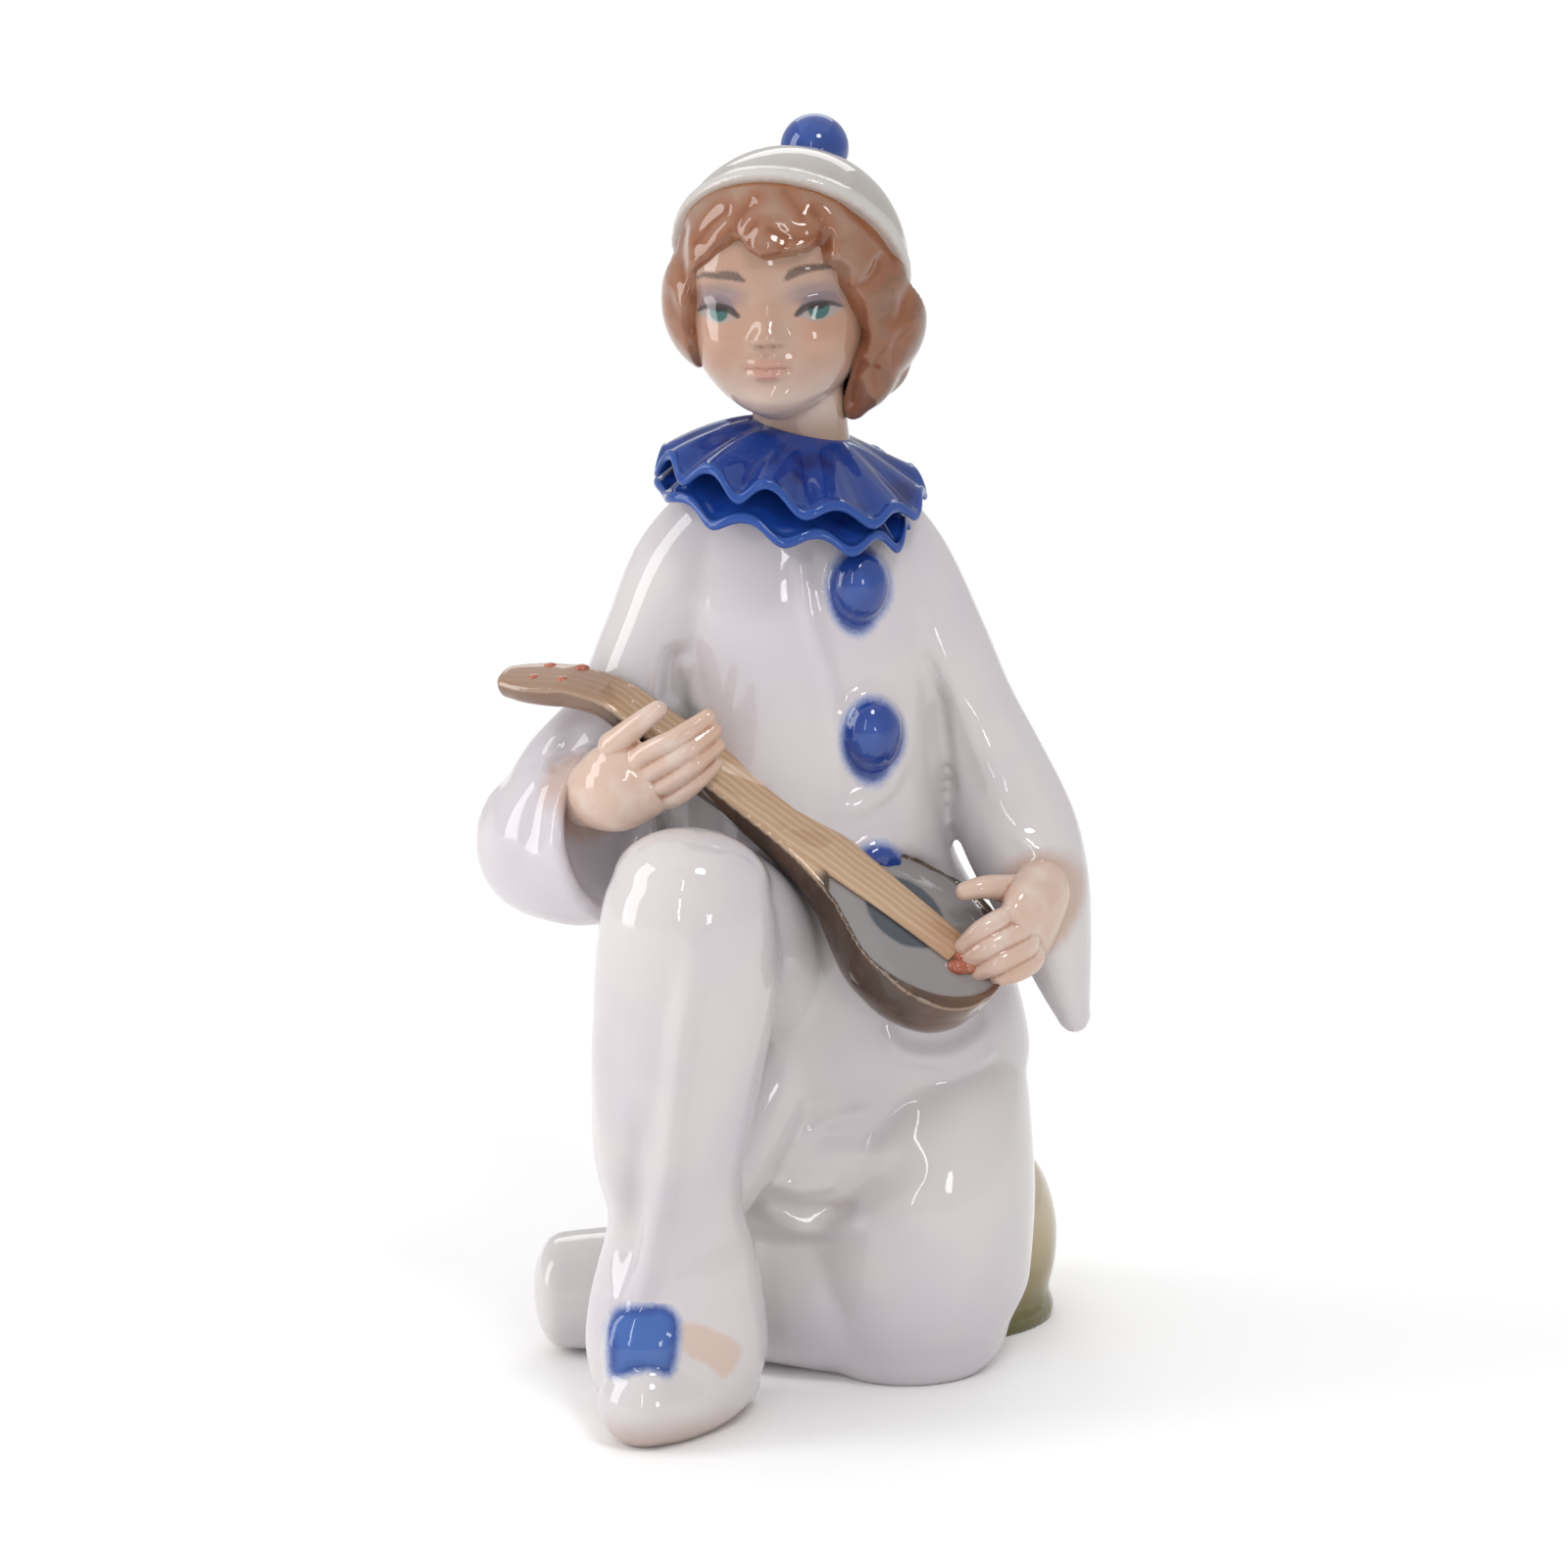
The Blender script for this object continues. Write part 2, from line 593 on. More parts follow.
def spot(where, centre, radii, turn=0.0):
    """How far outside an ellipse in the view each point is, in millimetres or so."""
    angle = math.radians(turn)
    du, dw = where[:, 0] - centre[0], where[:, 1] - centre[1]
    across = du * math.cos(angle) + dw * math.sin(angle)
    up = dw * math.cos(angle) - du * math.sin(angle)
    mean = 0.5 * (radii[0] + radii[1])
    return (np.hypot(across / radii[0], up / radii[1]) - 1) * mean


def paint_costume(skin):
    """Blue buttons with soft runs, the blue tuft, and the tints of both shoes."""
    where = seen(skin.points)
    x, y, z = skin.points.T
    facing = skin.normals()[:, 1] < 0.3
    blue = np.full(len(x), 30.0)
    for u, w in BUTTON_PAINT:
        dome = spot(where, (u, w), (4.7, 5.9), 8)
        run = spot(where, (u - 1.1, w - 1.5), (4.1, 6.2), 10)
        blue = np.minimum(blue, np.minimum(dome, run))
    blue = np.where(facing & (z > 80) & (y < -8), blue, 30)
    tuft = inside(where, ((-28.6, 11), (-28.4, 6.5), (-27.6, 3.2), (-22, 4.2), (-18.6, 3.4),
                          (-17.4, 7), (-17.2, 12), (-19.5, 14.4), (-23, 14.3),
                          (-27, 13.8)))
    blue = np.where((y < -24) & (z < 24), np.minimum(blue, -tuft), blue)
    skin.field("blue", blue)
    skin.field("tuft", np.where((y < -24) & (z < 24), -tuft, 30))
    patch = inside(where, ((-16.8, 11.6), (-13.2, 11), (-7.4, 7.9), (-9.4, 3.2), (-12.2, 5),
                           (-16, 7.4)))
    skin.field("instep", np.where((y < -10) & (z < 22), -patch, 30))
    skin.field("sole", np.where(y < -18, z + 0.10 * np.abs(x + 21), 30))
    skin.field("tucked", np.where((x < -26) & (y > -6), z + 0.5 * (x + 40), 30))
    wrists = [near_path(skin.points, [row[:3] for row in pose["back"]])[0]
              for pose in (RIGHT_HAND, LEFT_HAND)]
    skin.field("wrists", np.minimum(*wrists))
    skin.field("hollow", skin.hollow(24))


def costume():
    """The white costume with its blue buttons and tuft, legs and shoes included."""
    bm = bmesh.new()
    for form in (tunic, sleeves, legs, shoes):
        form(bm)
    skin = fuse(bm, voxel=0.8, passes=6)
    press_folds(skin)
    skin.points = skin.relaxed(skin.points, 2)
    paint_costume(skin)
    glaze = Glaze("white_porcelain_glaze", (202, 196, 196))
    glaze.mottle((196, 189, 194), 26, -0.12, 0.16, 2)
    glaze.brush("tucked", (184, 160, 150), -3, 7, 2, 4, 0.6)
    glaze.brush("sole", (168, 134, 116), 1, 8, 2, 4, 0.6)
    glaze.brush("wrists", (176, 138, 112), 5.6, 8.4, 1.2, 2, 0.6)
    glaze.brush("instep", (198, 164, 142), -0.4, 0.9, 0.8, 1.5, 0.6)
    glaze.brush("blue", (130, 144, 184), 0, 1.3, 0.9, 0.8, 0.8)
    glaze.brush("blue", (31, 61, 134), -0.8, 0.5, 0.8, 0.7)
    glaze.brush("blue", (45, 79, 154), -4.6, -2.2, 2.6, 2.2, 0.7)
    glaze.brush("tuft", (66, 104, 172), -2.2, 0.2, 1.6, 3, 0.8)
    glaze.deepen((174, 158, 150), 0.25, 1.4, 0.35)
    return show(skin, "costume", glaze.finish())


# Mound

MOUND_MIDDLE = (12.4, 28.6)
MOUND_WIDE, MOUND_DEEP, MOUND_TALL = 34, 22, 33


def mound():
    """The low round mound that the clown sits on, olive towards the ground."""
    bm = bmesh.new()
    profile = [(-0.03, 0.960), (0.06, 0.985), (0.13, 0.950), (0.30, 0.985),
               (0.52, 0.985), (0.74, 0.920), (0.92, 0.790)]
    rows = [(*MOUND_MIDDLE, MOUND_TALL * up, MOUND_WIDE * out, MOUND_DEEP * out)
            for up, out in profile]
    loft(bm, rows, caps=(0.05, 0.26), count=72)
    skin = fuse(bm, voxel=0.9, passes=10)
    skin.field("height", skin.points[:, 2])
    glaze = Glaze("olive_tinted_glaze", (196, 184, 170))
    glaze.brush("height", (172, 154, 112), 12, 34, 8, 9, 0.85)
    glaze.brush("height", (124, 110, 66), 3, 20, 7, 7)
    glaze.brush("height", (84, 82, 40), 0.5, 9, 4, 5, 0.85)
    return show(skin, "mound", glaze.finish())


# Head

HEAD = np.array((-0.9, 1.5, 180))
HEAD_TURN = math.radians(8)
HEAD_TILT = math.radians(3)
HEAD_AXES = np.array(
    Matrix.Rotation(-HEAD_TURN, 3, "Z") @ Matrix.Rotation(-HEAD_TILT, 3, "Y")
    @ Matrix(((1, 0, 0), (0, -1, 0), (0, 0, 1)))
)


def on_head(a, b, c):
    """A point given as a across the face, b out of it and c up."""
    return tuple(HEAD + HEAD_AXES @ np.array((a, b, c)))


def face_places(points):
    """Points as (across, out, up) of the face."""
    return (points - HEAD) @ HEAD_AXES


def dab(skin, centre, radii, height):
    """Swells or dents the face about a point that is given as on_head's are."""
    place = face_places(skin.points)
    gap = (place - np.array(centre)) / np.array(radii)
    skin.press(height * np.exp(-np.sum(gap**2, axis=1)))


def skull(bm):
    """Neck, and a round face that narrows to a soft chin."""
    loft(bm, [(3.4, 2, 146, 9, 8.5), (2.9, 1, 156, 7.6, 7.4), (1.8, 0, 166, 7.8, 8)])
    side = Vector(HEAD_AXES[:, 0])
    face = [
        (-18.6, 4.4, 3, 11.6), (-17.4, 7.2, 6, 13.2), (-15.6, 9.6, 8, 13.9),
        (-13, 11.9, 10, 13.8), (-10, 13.6, 11, 13.8), (-7, 14.7, 12, 14), (-3, 15.3, 12.5, 14),
        (0, 15.5, 12.5, 13.8), (3, 15.6, 12.5, 14.2), (7, 15.2, 12.5, 14.4), (11, 13.8, 12, 12.8),
        (14.5, 10.6, 10, 9.6), (17, 6, 6, 5.4),
    ]
    rows = [(*on_head(0, 0, c), wide, out, back) for c, wide, back, out in face]
    loft(bm, rows, side=side, caps=(0.35, 0.6), count=72, corner=0.94)


# Dabs on the face: centre, radii and height; the paired ones come on both sides.
PAIRED_DABS = (
    ((7.6, 13, 0.4), (3.9, 8, 2.6), -0.9), ((7.8, 12.6, -0.5), (2.8, 8, 1.8), 0.8),
    ((7.2, 13.4, 4.6), (4.2, 8, 1.7), 0.4), ((8, 12.5, -6.8), (4.2, 8, 3.6), 0.7),
    ((4.2, 14, -7.6), (1.6, 6, 2.2), -0.35),
)
NOSE_DABS = (
    ((0, 13.8, -0.4), (2.2, 8, 3), 0.35), ((0, 14, -3.9), (1.9, 8, 2), 0.9),
    ((0, 14.6, -5.2), (1.8, 8, 1.5), 1.7),
)
NOSTRIL_DABS = (
    ((1.9, 14.6, -5.8), (1.1, 8, 0.95), 0.75), ((1, 15.6, -6.9), (0.55, 4, 0.45), -0.5),
)
MOUTH_DABS = (
    ((0, 14, -10.2), (4.4, 8, 3.2), 0.9), ((-0.3, 14.4, -8.1), (0.7, 6, 0.8), -0.3),
    ((0, 13, -15.2), (3.4, 8, 2), 0.7), ((-1.5, 14.4, -9.5), (1.6, 6, 0.65), 0.6),
    ((0.7, 14.4, -9.5), (1.6, 6, 0.65), 0.6), ((-0.4, 14.4, -11.3), (2.1, 6, 0.8), 0.75),
    ((-0.4, 14.4, -10.35), (2.8, 6, 0.32), -0.5), ((-0.4, 14.4, -12.9), (2.4, 6, 0.7), -0.4),
    ((-3.8, 14.4, -10.3), (0.7, 6, 0.6), -0.35), ((3, 14.4, -10.3), (0.7, 6, 0.6), -0.35),
)


def shape_face(skin):
    """Sockets, lids and cheeks, a small nose, lips and chin, dab after dab."""
    for side in (-1, 1):
        for (across, out, up), radii, height in PAIRED_DABS:
            dab(skin, (across * side, out, up), radii, height)
    for centre, radii, height in NOSE_DABS:
        dab(skin, centre, radii, height)
    for side in (-1, 1):
        for (across, out, up), radii, height in NOSTRIL_DABS:
            dab(skin, (across * side, out, up), radii, height)
    for centre, radii, height in MOUTH_DABS:
        dab(skin, centre, radii, height)


def lid_curve(side):
    """The upper lid's edge, from the nose outwards."""
    return [(side * a, c) for a, c in ((4.7, -1.9), (6.1, -0.95), (8, -0.5), (10, -0.7),
                                        (11.6, -1.5))]


def paint_face(skin):
    """Eyes, brows, lips and blush, as distances on the flat of the face."""
    place = face_places(skin.points)
    flat = place[:, [0, 2]]
    front = place[:, 1] > 4
    far = np.full(len(flat), 30.0)
    iris, pupil, lid, brow, shade, white, lash = (far.copy() for _ in range(7))
    for side, peak in ((-1, 4.6), (1, 5.4)):
        middle = np.array((8.0 * side + 0.1, -1.25))
        iris = np.minimum(iris, np.linalg.norm(flat - middle, axis=1))
        pupil = np.minimum(pupil, spot(flat, middle + (-0.1, 0.9), (1.5, 1)))
        eyelid = [*lid_curve(side), (side * 10.6, 0.9), (side * 8.2, 1.6), (side * 5.9, 0.8)]
        lid = np.minimum(lid, -inside(flat, eyelid))
        gap, share = near_path(flat, lid_curve(side))
        thick = 0.46 * np.sin(np.pi * (0.12 + 0.85 * share)) ** 0.7 * (1.35 - 0.8 * share)
        lash = np.minimum(lash, gap - thick)
        shade = np.minimum(shade, spot(flat, (7.6 * side, 1.1), (4.2, 1.9)))
        opening = [*lid_curve(side), (side * 9.9, -2.6), (side * 7.8, -3.1), (side * 5.9, -2.6)]
        white = np.minimum(white, -inside(flat, opening))
        arch = [(3.4, 3.9), (5, 0.5 * peak + 2.3), (7.5, peak), (10, peak - 0.1),
                (11.8, peak - 0.9)]
        gap, share = near_path(flat, [(side * a, c) for a, c in arch])
        brow = np.minimum(brow, gap - 0.8 * (1 - share) ** 0.6 * smoothstep(-0.15, 0.25, share))
    lips = np.minimum(spot(flat, (-1.6, -9.65), (2.2, 0.75), 8),
                      spot(flat, (0.8, -9.65), (2.2, 0.75), -8))
    lips = np.minimum(lips, spot(flat, (-0.4, -11.2), (2.3, 0.95)))
    slit, _ = near_path(flat, [(-3.8, -10.4), (-1.7, -10.2), (-0.4, -10.4), (0.9, -10.2),
                               (3, -10.4)])
    blush = np.minimum(spot(flat, (-8.8, -6.4), (3.4, 3)), spot(flat, (8.8, -6.4), (3.4, 3)))
    nostril = np.minimum(np.hypot(flat[:, 0] - 1, flat[:, 1] + 6.7),
                         np.hypot(flat[:, 0] + 1, flat[:, 1] + 6.7))
    fields = {"iris": iris, "pupil": pupil, "lid": lid, "lash": lash, "brow": brow,
              "shade": shade, "white": white, "lips": lips, "slit": slit, "blush": blush,
              "nostril": nostril, "chin": place[:, 2] + 14.0}
    for name, values in fields.items():
        skin.field(name, np.where(front, values, 30))
    skin.field("neck", place[:, 2] + 19.5)
    skin.field("hollow", skin.hollow(40))


def head():
    """The painted head and neck."""
    bm = bmesh.new()
    skull(bm)
    skin = fuse(bm, voxel=0.34, passes=14)
    shape_face(skin)
    skin.points = skin.relaxed(skin.points, 4)
    paint_face(skin)
    glaze = Glaze("skin_tint_glaze", (172, 138, 119))
    glaze.mottle((180, 149, 132), 9, -0.1, 0.2)
    glaze.brush("chin", (194, 176, 166), -3, 5, 2, 4, 0.7)
    glaze.brush("neck", (148, 116, 98), -4, 2, 2, 4, 0.8)
    glaze.brush("blush", (176, 126, 100), -1.5, 4, 1.5, 4, 0.4)
    glaze.deepen((156, 104, 74), 0.05, 0.7, 0.6)
    glaze.brush("shade", (104, 96, 108), -1.6, 1.5, 0.8, 1.2, 0.5)
    glaze.brush("white", (150, 146, 148), -0.2, 0.3, 0.2, 0.6, 0.7)
    glaze.brush("iris", (38, 92, 88), 1.45, 1.8, 0.25, 0.5, 0.92)
    glaze.brush("pupil", (26, 30, 30), -0.3, 0.35, 0.3, 0.4, 0.9)
    glaze.brush("lid", (126, 110, 116), -0.3, 0.15, 0.1, 0.6, 0.85)
    glaze.brush("lash", (50, 40, 38), -0.15, 0.35, 0.3, 0.5, 0.85)
    glaze.brush("brow", (70, 52, 42), -0.25, 0.4, 0.9, 0.35, 0.8)
    glaze.brush("lips", (184, 124, 112), -0.7, 0.7, 0.3, 0.8, 0.5)
    glaze.brush("slit", (136, 82, 68), 0.05, 0.4, 0.2, 0.6, 0.55)
    glaze.brush("nostril", (122, 76, 54), 0.1, 0.6, 0.2, 0.5, 0.5)
    return show(skin, "head", glaze.finish())


# Hair

CROWN = Vector((0.229, 0.775, 0.589)).normalized()
CAP_CENTRE = Vector((0.8, 1, 183.9))
CAP_RADIUS = 19.1
BRIM_RISE = 0.9
OPENING_DEPTH, SIDE_DEPTH = 8.5, 3.5
# The outline in the view inside which the face shows.
FACE_OPENING = (
    (-15.6, 181.5), (-16, 178.4), (-16.3, 175.2), (-16.2, 172.6), (-15.4, 170.1), (-14, 166.9),
    (-12.6, 164.2), (-16, 158), (-4, 151), (10.5, 151), (9.3, 159.3), (9.3, 162.5), (10.2, 164.7),
    (12, 167.7), (13.2, 171), (13.1, 174.5), (12.4, 177.4), (11.6, 179), (11.1, 181.5),
    (9.5, 182.8), (8.2, 183.4), (7.7, 185.4), (7.5, 187.6), (6.8, 188.9), (6, 186.9),
    (4.4, 185.7), (1.9, 184.9), (-1.6, 184.2), (-3.8, 183.7), (-4.9, 184.5), (-6.7, 185),
    (-7.8, 186.6), (-8.7, 187.7), (-10.2, 186.3), (-12.1, 185), (-13.7, 183.1),
)
# The lines between locks: path in the view, width and height.
HAIR_LINES = (
    ([(-16.2, 191.1), (-17, 187.9), (-17.1, 183.1), (-16.2, 178.4), (-15.4, 175.2),
      (-14.9, 172)], 1.3, -0.7),
    ([(-19, 179.6), (-18.7, 176.8), (-16.5, 172.6), (-15.6, 171)], 1.2, -0.6),
    ([(-4.4, 194.2), (-6.7, 192), (-7.8, 189.8), (-7.9, 187.9), (-7, 186),
      (-5.1, 184.7)], 1.1, -0.8),
    ([(-4.6, 189.8), (-6, 188.2), (-6.4, 187.2), (-5.7, 186)], 0.8, -0.6),
    ([(-8.7, 188.9), (-10.2, 187.3), (-12.7, 185.7), (-14.3, 184.1)], 1.1, -0.5),
    ([(-2.5, 188.9), (0, 187.9), (3.2, 187.3), (5.7, 188.2), (6.7, 189.5)], 1.1, -0.6),
    ([(-4.1, 184.2), (-1.6, 184.7), (-0.3, 185.9), (0.6, 187.9)], 1, -0.5),
    ([(4.4, 192.4), (6.3, 190.3), (7.1, 188.4), (7.5, 186)], 1.3, -0.8),
    ([(15.2, 184.8), (15.9, 183), (14, 180.3), (11.7, 179.3)], 1.3, -0.9),
    ([(20, 178.4), (19.4, 175.2), (18.1, 173.3)], 1.2, -0.7),
    ([(11.4, 178.4), (13, 175.2), (13.7, 172), (13.3, 168.9)], 1, -0.5),
    ([(12.7, 167.6), (11.7, 164.7), (11, 161.9), (11.1, 160)], 1, -0.6),
    ([(16.5, 169.5), (14.6, 166.3), (14.9, 163.1)], 1.1, -0.6),
    ([(20.6, 173), (18.4, 170), (17.8, 166.5)], 1.1, -0.6),
    ([(-9, 192.5), (-12, 190), (-14.5, 186.5)], 1.2, -0.5),
    ([(9.5, 193.5), (13, 190), (16.5, 186.5), (18.4, 183)], 1.2, -0.5),
    ([(0, 195), (2.2, 192.4), (3, 190.2)], 1.1, -0.4),
)


def nape_locks(bm):
    """Short locks that curl in under the back of the bob."""
    for step in range(8):
        angle = math.radians(-9 + 24.0 * step)
        out = Vector((math.cos(angle), math.sin(angle), 0))
        sway = Vector((-out.y, out.x, 0)) * (1.2 if step % 2 else -1)
        rise = 4.0 if step == 7 else 0.0
        top = Vector((1.4, 4.5, 172.0 + rise)) + Vector((out.x * 13.6, out.y * 11.2, 0))
        tip = Vector((1.6, 5.5, 163.0 + rise)) + Vector((out.x * 11.2, out.y * 10, 0)) + sway
        middle = top.lerp(tip, 0.5) + out * 2.4
        loft(bm, [(*top, 4.6, 4.2), (*middle, 4.4, 4), (*tip, 3, 2.8)], count=20)


def carve_hair(skin):
    """Sinks the face's opening, then the lines between the locks all round."""
    where = seen(skin.points)
    x, y, z = skin.points.T
    facing = smoothstep(-0.35, 0.05, -skin.normals()[:, 1])
    deep = smoothstep(-0.15, 1, inside(where, FACE_OPENING))
    shallower = OPENING_DEPTH - SIDE_DEPTH
    depth = OPENING_DEPTH - shallower * smoothstep(7, 10, x) * smoothstep(173, 169, z)
    skin.press(-depth * deep * facing * (y < 3))
    groove = np.full(len(x), 30.0)
    for path, width, height in HAIR_LINES:
        skin.stroke(path, 1.5 * width, 1.05 * height, (-40, 6), 0.12)
        gap, _ = near_path(where, path)
        groove = np.where(y < 4, np.minimum(groove, gap), groove)
    turn = np.arctan2(y - 4, x - 1)
    for step in range(13):
        angle = math.radians(-18 + 18.2 * step)
        sway = 0.10 * np.sin(0.33 * z + 1.9 * step) + 0.05 * np.sin(0.7 * z + step)
        gap = 17.5 * np.abs(np.angle(np.exp(1j * (turn - angle - sway))))
        gap = np.where(y > 1, gap, 30)
        skin.press(-0.75 * np.clip(1 - (gap / 1.9) ** 2, 0, 1) ** 2)
        groove = np.minimum(groove, gap)
    return groove


def tuck_under_cap(skin):
    """Pulls the hair in where the cap covers it."""
    gap = skin.points - np.array(CAP_CENTRE)
    rise = gap @ np.array(CROWN) - BRIM_RISE
    out = np.linalg.norm(gap, axis=1)
    inner = CAP_RADIUS - 0.5 - 1.1 * smoothstep(-0.4, 0.6, rise)
    limit = np.where(rise > -0.8, inner, 1e9)
    share = np.minimum(1, limit / out)
    skin.points = np.array(CAP_CENTRE) + gap * share[:, None]
    return rise


def hair():
    """The glazed bob with its fringe, tucked under the cap."""
    bm = bmesh.new()
    ball(bm, (0.8, 1.2, 184), (18.4, 17.9, 18.4))
    ball(bm, (-9.5, 1.5, 178.5), (10.2, 12.5, 12.4))
    ball(bm, (12.2, 2.5, 175.5), (10.8, 12.5, 11.5))
    ball(bm, (11.5, 0, 182), (8.8, 11.5, 9.5))
    ball(bm, (12.6, 0.8, 168.6), (6.6, 7.8, 6.4))
    loft(bm, [(14.6, -1.5, 171.5, 5, 5), (13.2, -1.2, 165.6, 4.4, 4.6),
              (11.2, -0.6, 161.8, 2.5, 3.2)], caps=(1, 1.1))
    ball(bm, (9.8, 8.9, 166.6), (6.4, 5.8, 7.6))
    ball(bm, (2, 10.5, 172), (15.6, 10, 11))
    nape_locks(bm)
    skin = fuse(bm, voxel=0.38, passes=8)
    groove = carve_hair(skin)
    skin.points = skin.relaxed(skin.points, 14)
    rise = tuck_under_cap(skin)
    skin.field("hollow", skin.hollow(24))
    skin.field("groove", groove)
    skin.field("brim", -rise)
    skin.field("far_side", 19.0 - skin.points[:, 0] - 0.1 * (175 - skin.points[:, 2]))
    glaze = Glaze("hair_tint_glaze", (141, 103, 83))
    glaze.mottle((149, 117, 99), 7, -0.1, 0.2, 2)
    glaze.brush("far_side", (106, 66, 42), 1, 10, 3, 5, 0.8)
    glaze.mottle((138, 94, 68), 2.6, 0.04, 0.2, 2, 0.5)
    glaze.brush("groove", (142, 84, 50), 0.2, 2.6, 1.2, 2, 0.7)
    glaze.brush("groove", (108, 58, 30), -0.3, 0.9, 0.6, 1.5, 0.6)
    glaze.deepen((104, 58, 34), 0.1, 0.9, 0.7)
    glaze.brush("brim", (140, 84, 48), 0.5, 1.8, 0.8, 2, 0.85)
    return show(skin, "hair", glaze.finish())


# Cap

POMPOM_CENTRE, POMPOM_RADIUS = (4.9, 15.6, 200.4), 5.55


def cap():
    """A round cap far back on the head, its edge a soft roll under a faint crease."""
    bm = bmesh.new()
    rows = []
    start = BRIM_RISE / CAP_RADIUS
    for share in (start - 0.01, start + 0.04, 0.1, 0.35, 0.6, 0.8, 0.93):
        out = math.sqrt(1 - share**2) * CAP_RADIUS
        rows.append((*(CAP_CENTRE + CROWN * (CAP_RADIUS * share)), out, out))
    loft(bm, rows, caps=(0.05, 0.16), count=96)
    side = (X_AXIS - CROWN * X_AXIS.dot(CROWN)).normalized()
    back = CROWN.cross(side)
    for tube, out_by, up_by in ((0.75, -0.25, 0.1), (0.75, -0.18, 1.2)):
        loops = []
        for step in range(120):
            angle = 2 * math.pi * step / 120
            out = side * math.cos(angle) + back * math.sin(angle)
            middle = CAP_CENTRE + out * (CAP_RADIUS + out_by) + CROWN * (BRIM_RISE + up_by)
            loops.append(ring_points(middle, out, CROWN, tube, tube, tube, 16))
        hoop(bm, loops)
    skin = fuse(bm, voxel=0.5, passes=4)
    gap = skin.points - np.array(CAP_CENTRE)
    rise = gap @ np.array(CROWN) - BRIM_RISE
    lean = smoothstep(8, -10, gap[:, 0])
    skin.press(-0.28 * lean * np.exp(-((rise - 3.2) / 0.8) ** 2))
    skin.points = skin.relaxed(skin.points, 3)
    skin.field("rise", rise)
    glaze = Glaze("cap_glaze", (172, 167, 163))
    glaze.mottle((165, 159, 153), 12, -0.1, 0.2)
    glaze.brush("rise", (196, 192, 188), 0.6, 3.4, 0.6, 4, 0.7)
    glaze.brush("rise", (150, 116, 92), -1, 0.1, 0.5, 3, 0.6)
    return show(skin, "cap", glaze.finish())


def pompom():
    """The cobalt ball on top of the cap."""
    bm = bmesh.new()
    ball(bm, POMPOM_CENTRE, (POMPOM_RADIUS,) * 3)
    skin = shaped(bm)
    glaze = Glaze("cobalt_pompom_glaze", (34, 64, 136))
    glaze.mottle((44, 78, 152), 3, -0.05, 0.2)
    return show(skin, "pompom", glaze.finish())


# Collar

COLLAR_RADIUS, COLLAR_SHEET, COLLAR_WAVES = 20.8, 1.5, 12


def collar_point(radius, angle, lower):
    """A point on the collar's upper face; lower picks the layer beneath."""
    share = max(0, (radius - 7) / (COLLAR_RADIUS - 7))
    radius -= 3.0 * share * lower * max(0, math.cos(angle - 0.35)) ** 2
    x = 3.0 - 1.8 * share + radius * math.cos(angle)
    y = 0.5 - 1.5 * share + radius * math.sin(angle)
    neck = 157.8 - 0.24 * (x - 3) - 1.6 * lower
    if lower:
        hem = 146.6 - 0.15 * (x - 1.2) + 0.05 * (y + 1) + 0.4 * math.sin(2 * angle)
        phase = 11 * (angle + math.radians(98)) + 0.7 * math.sin(2 * angle + 2)
        swing = 0.9 + 0.25 * math.cos(3 * angle + 1)
    else:
        hem = 151.0 - 0.127 * (x - 1.2) + 1.5 * math.sin(2 * angle)
        phase = COLLAR_WAVES * (angle + math.radians(84)) + 0.25 * math.sin(3 * angle)
        swing = 1.15 - 0.35 * math.cos(angle + 0.6)
        swing += 0.75 * math.exp(-((angle % math.tau - 4.5) / 0.22) ** 2)
    wave = -swing * share**1.35 * (math.cos(phase) + 0.09 * math.cos(2 * phase))
    z = neck + (hem - neck) * share**1.3 + wave
    return Vector((x, y, z))


def collar(count=432, steps=26):
    """The pleated collar, two wavy layers of thin clay."""
    bm = bmesh.new()
    inner = 5.0
    half = 0.5 * COLLAR_SHEET
    for lower in (0, 1):
        loops = []
        for turn in range(count):
            angle = 2 * math.pi * turn / count
            reach = COLLAR_RADIUS + 0.4 * math.sin(COLLAR_WAVES * angle + 2 * lower)
            radii = [inner + (reach - inner) * s / steps for s in range(steps + 1)]
            top = [collar_point(radius, angle, lower) for radius in radii]
            outward = Vector((math.cos(angle), math.sin(angle), -0.35)).normalized()
            edge = top[-1] - Z_AXIS * half
            rim = [
                edge + outward * (half * 1.2 * math.sin(t)) + Z_AXIS * (half * 1.3 * math.cos(t))
                for t in (0.4, 0.85, 1.3, 1.75, 2.2, 2.7)
            ]
            under = [point - Z_AXIS * COLLAR_SHEET for point in reversed(top)]
            loops.append([*top, *rim, *under])
        hoop(bm, loops)
    skin = shaped(bm)
    gap = np.hypot(skin.points[:, 0] - 1.2, skin.points[:, 1] + 1)
    skin.field("rim", COLLAR_RADIUS - gap)
    skin.field("hollow", skin.hollow(60))
    glaze = Glaze("cobalt_collar_glaze", (20, 52, 126))
    glaze.shader.inputs["Coat Weight"].default_value = 0.0
    glaze.shader.inputs["Specular IOR Level"].default_value = 0.36
    glaze.mottle((16, 34, 96), 6, -0.02, 0.16, 3)
    glaze.mottle((46, 36, 74), 8, 0.04, 0.2, 3, 0.2)
    glaze.deepen((12, 20, 62), 0, 0.7, 0.85)
    glaze.brush("hollow", (36, 76, 152), -0.9, 0.1, 0.3, 2, 0.6)
    glaze.brush("rim", (44, 80, 150), -0.2, 1, 0.5, 1.2, 0.4)
    return show(skin, "collar", glaze.finish())


# Mandolin

